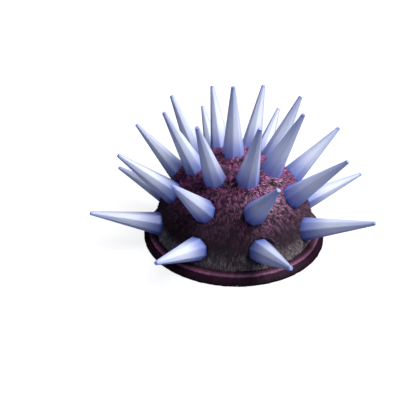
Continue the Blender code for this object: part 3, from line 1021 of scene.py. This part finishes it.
def stout_spine_template(spines):
    """A cone with flat sides, blunt at its tip, with a map round and along it."""
    length = spines.length
    tip = spines.tip_radius
    shaft_rows = 20
    facet_steps = 9
    # Height over the coat where the shaft's flatness is reached, and length of the round end.
    flatter_up_to = 8 * MM
    round_end = 0.9 * MM
    end = [
        (tip, length - 0.70 * MM),
        (tip * 0.96, length - 0.35 * MM),
        (tip * 0.82, length - 0.08 * MM),
        (tip * 0.55, length),
        (0.0, length),
    ]
    end = smooth_line(end, 4)
    end[-1, 0] = 0.0
    taper = (spines.radius - tip) / (end[0, 1] + spines.base_depth)
    root = (spines.radius + taper * (spines.root_depth - spines.base_depth), -spines.root_depth)
    shaft = np.linspace(root, end[0], shaft_rows)[:-1]
    profile = np.vstack([[(0.0, root[1])], shaft, end])
    points, faces = turned_grid(profile, spines.facets * facet_steps)
    angle = azimuths(points)
    height = points[:, 2]
    facet = FULL_TURN / spines.facets
    flat = math.cos(facet / 2) / np.cos(angle % facet - facet / 2)
    up_shaft = smooth_share(height / flatter_up_to)
    flatness = spines.flatness + (spines.shaft_flatness - spines.flatness) * up_shaft
    factor = 1 - flatness * (1 - flat) * smooth_share((length - height) / round_end)
    points[:, :2] *= factor[:, None]
    reach = reaches(points)
    mesh = mesh_from("stout_spine_template", points, faces)
    wrap = mesh.uv_layers.new(name="wrap")
    share = angle / FULL_TURN % 1
    for face in mesh.polygons:
        around = {v: share[v] for v in face.vertices if reach[v] > 1e-6}
        crosses = max(around.values()) - min(around.values()) > 0.5
        around = {v: value + 1 if crosses and value < 0.5 else value for v, value in around.items()}
        middle = sum(around.values()) / len(around)
        for loop, v in zip(face.loop_indices, face.vertices):
            wrap.data[loop].uv = (around.get(v, middle), height[v] / length)
    return new_object("stout_spine_template", mesh)


def top_plate_template(shell):
    """A low five-sided plate with rounded corners. Its top is a little over the tips of the coat."""
    sides = 40
    corners = 5
    corner_reach = 0.05
    # Stations of the plate's section: share of its radius, and height in millimetres.
    stations = [(0.9, -1.5), (1.0, -0.4), (0.98, 0.05), (0.85, 0.30), (0.5, 0.42), (0.0, 0.40)]
    section = smooth_line(np.array(stations) * (shell.top_plate_radius, MM), 3)
    section[-1, 0] = 0.0
    points, faces = turned_grid(np.vstack([[(0.0, section[0][1])], section]), sides)
    reach = 1 + corner_reach * np.cos(azimuths(points) * corners)
    points[:, :2] *= reach[:, None]
    return new_object("top_plate_template", mesh_from("top_plate_template", points, faces))


def follow_ball(mesh, share):
    """Turns a coat's normals a share of the way to the dome's, so that light runs smoothly over it."""
    own = np.zeros(3 * len(mesh.vertices), np.float32)
    ball = own.copy()
    mesh.vertices.foreach_get("normal", own)
    mesh.attributes["ball_normal"].data.foreach_get("vector", ball)
    turned = ((1 - share) * own + share * ball).reshape(-1, 3)
    turned /= np.linalg.norm(turned, axis=1)[:, None]
    mesh.normals_split_custom_set_from_vertices(turned)
    mesh.attributes.remove(mesh.attributes["ball_normal"])


def flat_spine_template(count, stations):
    """A flattened spine for one of a number of places in a row.

    Its stations are (distance from the axis, height, half thickness) in millimetres, and the share
    that it takes of its place's width.
    """
    corner = [(1.0, 0.55), (0.92, 1.0), (-0.92, 1.0), (-1.0, 0.55)]
    section = corner + [(-across, -up) for across, up in corner]
    rings = []
    for distance, height, half_thick, share in smooth_line(np.array(stations) * (MM, MM, MM, 1.0), 2):
        half_width = share * distance * math.tan(math.pi / count)
        rings.append([(x * half_width, -distance, height + z * half_thick) for x, z in section])
    template = lofted("flat_spine_template", rings)
    store(template.data, "along", np.repeat(np.linspace(0, 1, len(rings)), len(section)))
    template.data.set_sharp_from_angle(angle=SOFT_ANGLE)
    return template


class URCHIN_OT_skin(Operator):
    """Builds the skin that the coat and the spines stand on"""

    bl_idname = "urchin.skin"
    bl_label = "Skin"

    def execute(self, context):
        finish_piece(build_skin(), [*DOME_NODES, *MARGIN_NODES, *ORAL_NODES])
        return {"FINISHED"}


class URCHIN_OT_coat(Operator):
    """Grows the coat of fine spines over the dome"""

    bl_idname = "urchin.coat"
    bl_label = "Coat of fine spines"

    def execute(self, context):
        coat = context.scene.urchin_coat
        skin = bpy.data.objects["skin"]
        centre = AXIS + Vector((0, 0, context.scene.urchin_shell.centre_height))
        settings = fine_spine_settings(coat, skin, "coat_grows", centre, coat_material())
        settings |= {"First row": 0.0, "Parts": float(coat.parts)}
        tree = coat_tree()
        for part in range(coat.parts):
            settings["Part"] = float(part)
            piece = grow(f"coat_{part + 1}", skin, tree, settings)
            follow_ball(piece.data, coat.smoothness)
            finish_piece(piece, DOME_NODES)
        remove(settings["Spine"])
        return {"FINISHED"}


class URCHIN_OT_stout_spines(Operator):
    """Stands the stout spines on their mounds, tier by tier"""

    bl_idname = "urchin.stout_spines"
    bl_label = "Stout spines"

    def execute(self, context):
        template = stout_spine_template(context.scene.urchin_spines)
        material = stout_spine_material()
        for tier in ("ambital", "shoulder", "crown", "apical"):
            places = [place for place in spine_places() if place[0] == tier]
            piece = stand_on_sockets(f"stout_spines_{tier}", places, template, material)
            finish_piece(piece, nodes_named(tier))
        remove(template)
        return {"FINISHED"}


class URCHIN_OT_top_plates(Operator):
    """Sets the small raised plates round the spine at the top"""

    bl_idname = "urchin.top_plates"
    bl_label = "Top plates"

    def execute(self, context):
        template = top_plate_template(context.scene.urchin_shell)
        plum = context.scene.urchin_colours.plum
        grain = {"size": 0.35 * MM, "depth": 0.12 * MM, "roughness": 0.45, "spread": 0.45}
        material = plain_material("top_plates", plum, specular=0.4, **grain)
        piece = stand_on_sockets("top_plates", top_plate_places(), template, material)
        finish_piece(piece, nodes_named("apical"))
        remove(template)
        return {"FINISHED"}


class URCHIN_OT_margin(Operator):
    """Sets the two rows of flattened spines round the margin"""

    bl_idname = "urchin.margin"
    bl_label = "Margin"

    def execute(self, context):
        margin = context.scene.urchin_margin
        colours = context.scene.urchin_colours
        # Stations of each row, as flat_spine_template takes them.
        upper = [
            (37.6, 3.62, 0.46, 0.95),
            (39.5, 3.82, 0.52, 1.02),
            (41.6, 3.84, 0.50, 1.02),
            (42.3, 3.70, 0.46, 1.01),
            (42.8, 3.42, 0.30, 0.99),
        ]
        lower = [
            (38.8, 2.50, 0.75, 0.98),
            (41.2, 2.50, 0.95, 1.03),
            (42.4, 2.38, 1.02, 1.03),
            (43.5, 1.90, 0.98, 1.03),
            (44.6, 1.32, 0.80, 1.03),
            (MARGIN_REACH / MM, 0.78, 0.45, 1.01),
        ]
        rows = (
            ("upper", margin.upper_count, colours.brim_light, 0.2, upper),
            ("lower", margin.lower_count, colours.brim_dark, 0.05, lower),
        )
        for number, (row, count, tip_colour, specular, stations) in enumerate(rows):
            piece = ring_of(
                f"margin_{row}_row",
                flat_spine_template(count, stations),
                count,
                margin_material(f"margin_{row}", colours.brim_dark, tip_colour, specular),
                seed=margin.seed + 10 * number,
                first=FULL_TURN / count / 2 * number,
                sway=margin.sway,
                varies=margin.size_varies,
            )
            finish_piece(piece, MARGIN_NODES)
        return {"FINISHED"}


class URCHIN_OT_under_side(Operator):
    """Grows the short spines of the under side"""

    bl_idname = "urchin.under_side"
    bl_label = "Spines of the under side"

    def execute(self, context):
        sizes = context.scene.urchin_under_side
        colours = context.scene.urchin_colours
        skin = bpy.data.objects["skin"]
        material = margin_material("oral_spines", colours.brim_light, colours.olive, 0.2)
        settings = fine_spine_settings(sizes, skin, "oral_spines_grow", AXIS, material)
        finish_piece(grow("oral_spines", skin, coat_tree(), settings), ORAL_NODES)
        remove(settings["Spine"])
        return {"FINISHED"}


class URCHIN_OT_mouth(Operator):
    """Makes the soft ring round the mouth with its tube feet, the jaws and the teeth"""

    bl_idname = "urchin.mouth"
    bl_label = "Mouth"

    def execute(self, context):
        mouth = context.scene.urchin_mouth
        flesh = context.scene.urchin_colours.flesh
        # Teeth and tube feet stand in line with the first column of stout spines.
        first = context.scene.urchin_spines.first_column
        self.soft_ring(mouth, flesh)
        self.jaws(mouth, flesh, first)
        self.teeth(mouth, context.scene.urchin_colours.tooth, first)
        self.tube_feet(mouth, flesh, first)
        return {"FINISHED"}

    def finish_turned(self, name, points, faces, material, node):
        mesh = mesh_from(name, points, faces)
        mesh.materials.append(material)
        finish_piece(move_to_axis(new_object(name, mesh)), [node])

    def soft_ring(self, mouth, flesh):
        low = MOUTH_FLOOR
        roof = RING_TOP - 0.4 * MM
        edge = mouth.ring_radius - 0.3 * MM
        opening = mouth.opening
        stations = [
            (edge, roof),
            (edge, low + 1.2 * MM),
            (edge - 0.3 * MM, low + 0.25 * MM),
            (edge - 1.6 * MM, low + 0.10 * MM),
            (opening + 3.6 * MM, low + 0.55 * MM),
            (opening + 1.1 * MM, low + 0.50 * MM),
            (opening + 0.15 * MM, low + 0.80 * MM),
            (opening + 0.30 * MM, roof - 0.2 * MM),
            (opening + 1.5 * MM, roof),
            (edge, roof),
        ]
        sides = 276
        points, faces = turned_grid(smooth_line(stations, 7)[:-1], sides)
        last = len(points) - sides
        for side in range(sides):
            after = (side + 1) % sides
            faces.append((last + side, last + after, after, side))
        # Folds run out from the mouth and rings run round it, both wandering a little.
        fold_depth = 0.16 * MM
        ring_gap = 1.25 * MM
        waves_per_metre = 260
        wander = np.array([noise.noise(Vector(point) * waves_per_metre) for point in points])
        folds = np.cos(azimuths(points) * mouth.wrinkles + wander * 2.6) * 0.5 + wander * 0.5
        rings = np.cos(reaches(points) / ring_gap * math.pi + wander * 1.5) * 0.3
        visible = smooth_share((low + 1.4 * MM - points[:, 2]) / (0.8 * MM))
        points[:, 2] += (folds + rings) * fold_depth * visible
        grain = {"size": 0.7 * MM, "depth": 0.12 * MM, "roughness": 0.4}
        material = plain_material("mouth_skin", flesh, specular=0.45, **grain)
        self.finish_turned("mouth_skin_ring", points, faces, material, "mouth_ring")

    def jaws(self, mouth, flesh, first):
        low = MOUTH_FLOOR + 0.9 * MM
        roof = RING_TOP - 0.5 * MM
        outer = mouth.opening - 0.35 * MM
        stations = [
            (0.0, roof),
            (outer, roof),
            (outer, low + 0.9 * MM),
            (outer * 0.86, low + 0.2 * MM),
            (outer * 0.55, low),
            (outer * 0.25, low + 0.6 * MM),
            (0.0, low + 0.9 * MM),
        ]
        profile = np.abs(smooth_line(stations, 6))
        profile[[0, -1], 0] = 0.0
        sides = 90
        cleft = 0.7 * MM
        points, faces = turned_grid(profile, sides)
        lobes = np.abs(np.cos((azimuths(points) - first) * mouth.teeth / 2))
        deep = smooth_share((low + 1.2 * MM - points[:, 2]) / (1.0 * MM))
        points[:, 2] += (1 - lobes) ** 2 * cleft * deep
        grain = {"size": 0.5 * MM, "depth": 0.08 * MM, "roughness": 0.45}
        material = plain_material("jaw_skin", flesh, specular=0.4, **grain)
        self.finish_turned("jaw_lobes", points, faces, material, "jaws")

    def teeth(self, mouth, chalk, first):
        # Stations of a tooth: distance from the axis, height over the tips, half width and half depth.
        stations = mm(
            (2.55, 3.2, 0.80, 0.62),
            (2.60, 2.0, 0.82, 0.60),
            (2.20, 0.9, 0.74, 0.50),
            (1.55, 0.2, 0.52, 0.30),
            (1.20, 0.0, 0.30, 0.12),
        )
        stations += (0, JAW_FLOOR, 0, 0)
        sides = 16
        # Share of a tooth's half depth that its keel stands out by, along the side towards the axis.
        keel = 0.25
        angles = np.arange(sides) * FULL_TURN / sides
        rings = []
        for distance, height, half_width, half_depth in smooth_line(stations, 5):
            depths = distance + half_depth * (np.sin(angles) + keel * np.cos(2 * angles))
            rings.append([(half_width * math.cos(a), -y, height) for a, y in zip(angles, depths)])
        grain = {"size": 0.6 * MM, "depth": 0.03 * MM, "roughness": 0.25, "spread": 0.12}
        material = plain_material("tooth", chalk, specular=0.5, **grain)
        template = lofted("tooth_template", rings)
        piece = ring_of("teeth", template, mouth.teeth, material, mouth.seed, first)
        finish_piece(piece, ["jaws"])

    def tube_feet(self, mouth, flesh, first):
        """Short soft feet with a sucker at the tip, near the mouth's opening."""
        distance = mouth.opening + 2.6 * MM
        # Stations of a foot, from its root to the sucker's hollow: height from the ring's floor, radius.
        stations = mm((0.9, 0.42), (0.1, 0.34), (-0.5, 0.36), (-0.75, 0.62), (-0.9, 0.60), (-0.8, 0.25))
        stations += (MOUTH_FLOOR, 0)
        sides = 14
        angles = np.arange(sides) * FULL_TURN / sides
        rings = []
        for height, radius in smooth_line(stations, 3):
            across, back = radius * np.cos(angles), radius * np.sin(angles) - distance
            rings.append([(x, y, height) for x, y in zip(across, back)])
        grain = {"size": 0.3 * MM, "depth": 0.03 * MM, "roughness": 0.35}
        material = plain_material("tube_feet", flesh, specular=0.5, **grain)
        template = lofted("foot_template", rings)
        piece = ring_of("mouth_tube_feet", template, mouth.feet, material, mouth.seed, first)
        finish_piece(piece)


class URCHIN_OT_studio(Operator):
    """Sets up the floor, the lights and the camera"""

    bl_idname = "urchin.studio"
    bl_label = "Studio"

    def execute(self, context):
        studio = context.scene.urchin_studio
        white = (1.0, 1.0, 1.0)
        blue = (0.58, 0.65, 1.0)
        self.floor(context.scene.urchin_colours.floor, white, studio.floor_glow)
        # Each lamp's direction from the dome.
        self.lamp("key_light", (0.59, -0.08, 0.80), studio.key_power, white, studio)
        self.lamp("fill_light", (-0.60, -0.60, 0.53), studio.fill_power, white, studio)
        self.lamp("table_light", (0.0, -0.50, -0.87), studio.table_power, blue, studio)
        world = bpy.data.worlds.new("studio_world")
        world.use_nodes = True
        background = world.node_tree.nodes["Background"]
        background.inputs["Color"].default_value = opaque(blue)
        background.inputs["Strength"].default_value = studio.world
        world.cycles_visibility.glossy = False
        context.scene.world = world
        context.scene.view_settings.view_transform = "Standard"
        self.camera(context, studio)
        return {"FINISHED"}

    def floor(self, pale, white, glow):
        """A round floor that curves up into a wall. It lets light through and lights nothing itself."""
        sides = 96
        flat_reach = 1.7
        stations = [(0.0, 0.0), (1.0, 0.0), (flat_reach, 0.0), (2.3, 0.25), (2.6, 0.9), (2.7, 2.0)]
        profile = smooth_line(stations, 6)
        profile[0, 0] = 0.0
        profile[profile[:, 0] < flat_reach, 1] = 0.0
        mesh = mesh_from("studio_floor", *turned_grid(profile, sides))
        mesh.flip_normals()
        lit = {"Emission_Color": opaque(white), "Emission_Strength": glow}
        grain = {"size": 0.4, "depth": 0.0, "roughness": 0.8, "spread": 0.01}
        mesh.materials.append(plain_material("studio_floor", pale, specular=0.1, **grain, **lit))
        floor = new_object("studio_floor", mesh)
        floor.visible_diffuse = False
        floor.visible_glossy = False
        floor.visible_shadow = False

    def lamp(self, name, direction, power, colour, studio):
        """A broad round lamp some way from the urchin, aimed at the middle of its dome."""
        aim = AXIS + Vector((0, 0, studio.lamp_aim))
        towards = Vector(direction)
        light = bpy.data.lights.new(name, "AREA")
        light.shape = "DISK"
        light.size = studio.lamp_size
        light.energy = power
        light.color = colour
        lamp = new_object(name, light)
        lamp.location = aim + towards * studio.lamp_distance
        lamp.rotation_euler = towards.to_track_quat("Z", "Y").to_euler()

    def camera(self, context, studio):
        back = Vector((0.0, -math.cos(studio.elevation), math.sin(studio.elevation)))
        place = AXIS + back * studio.distance
        target = AXIS + Vector((-studio.look_left, 0.0, studio.look_up))
        data = bpy.data.cameras.new("camera")
        data.lens = studio.lens
        data.sensor_width = 36.0
        data.clip_start = 0.01
        camera = new_object("camera", data)
        camera.location = place
        camera.rotation_euler = (target - place).to_track_quat("-Z", "Y").to_euler()
        context.scene.camera = camera


OPERATORS = (
    URCHIN_OT_skin,
    URCHIN_OT_coat,
    URCHIN_OT_stout_spines,
    URCHIN_OT_top_plates,
    URCHIN_OT_margin,
    URCHIN_OT_under_side,
    URCHIN_OT_mouth,
    URCHIN_OT_studio,
)


class URCHIN_PT_panel(Panel):
    """Sizes, colours and building steps of the sea urchin"""

    bl_idname = "URCHIN_PT_panel"
    bl_label = "Sea urchin"
    bl_space_type = "VIEW_3D"
    bl_region_type = "UI"
    bl_category = "Sea urchin"

    def draw(self, context):
        for operator in OPERATORS:
            self.layout.operator(operator.bl_idname)
        for name, group in GROUPS.items():
            box = self.layout.box()
            box.label(text=group.__doc__.rstrip("."))
            for setting in group.__annotations__:
                box.prop(getattr(context.scene, name), setting)


def register():
    for name, group in GROUPS.items():
        bpy.utils.register_class(group)
        setattr(bpy.types.Scene, name, PointerProperty(type=group))
    for shown in (*OPERATORS, URCHIN_PT_panel):
        bpy.utils.register_class(shown)


def unregister():
    for shown in (URCHIN_PT_panel, *reversed(OPERATORS)):
        bpy.utils.unregister_class(shown)
    for name, group in reversed(GROUPS.items()):
        delattr(bpy.types.Scene, name)
        bpy.utils.unregister_class(group)


def main():
    register()
    bpy.ops.urchin.skin()
    bpy.ops.urchin.coat()
    bpy.ops.urchin.stout_spines()
    bpy.ops.urchin.top_plates()
    bpy.ops.urchin.margin()
    bpy.ops.urchin.under_side()
    bpy.ops.urchin.mouth()
    bpy.ops.urchin.studio()


if __name__ == "__main__":
    main()
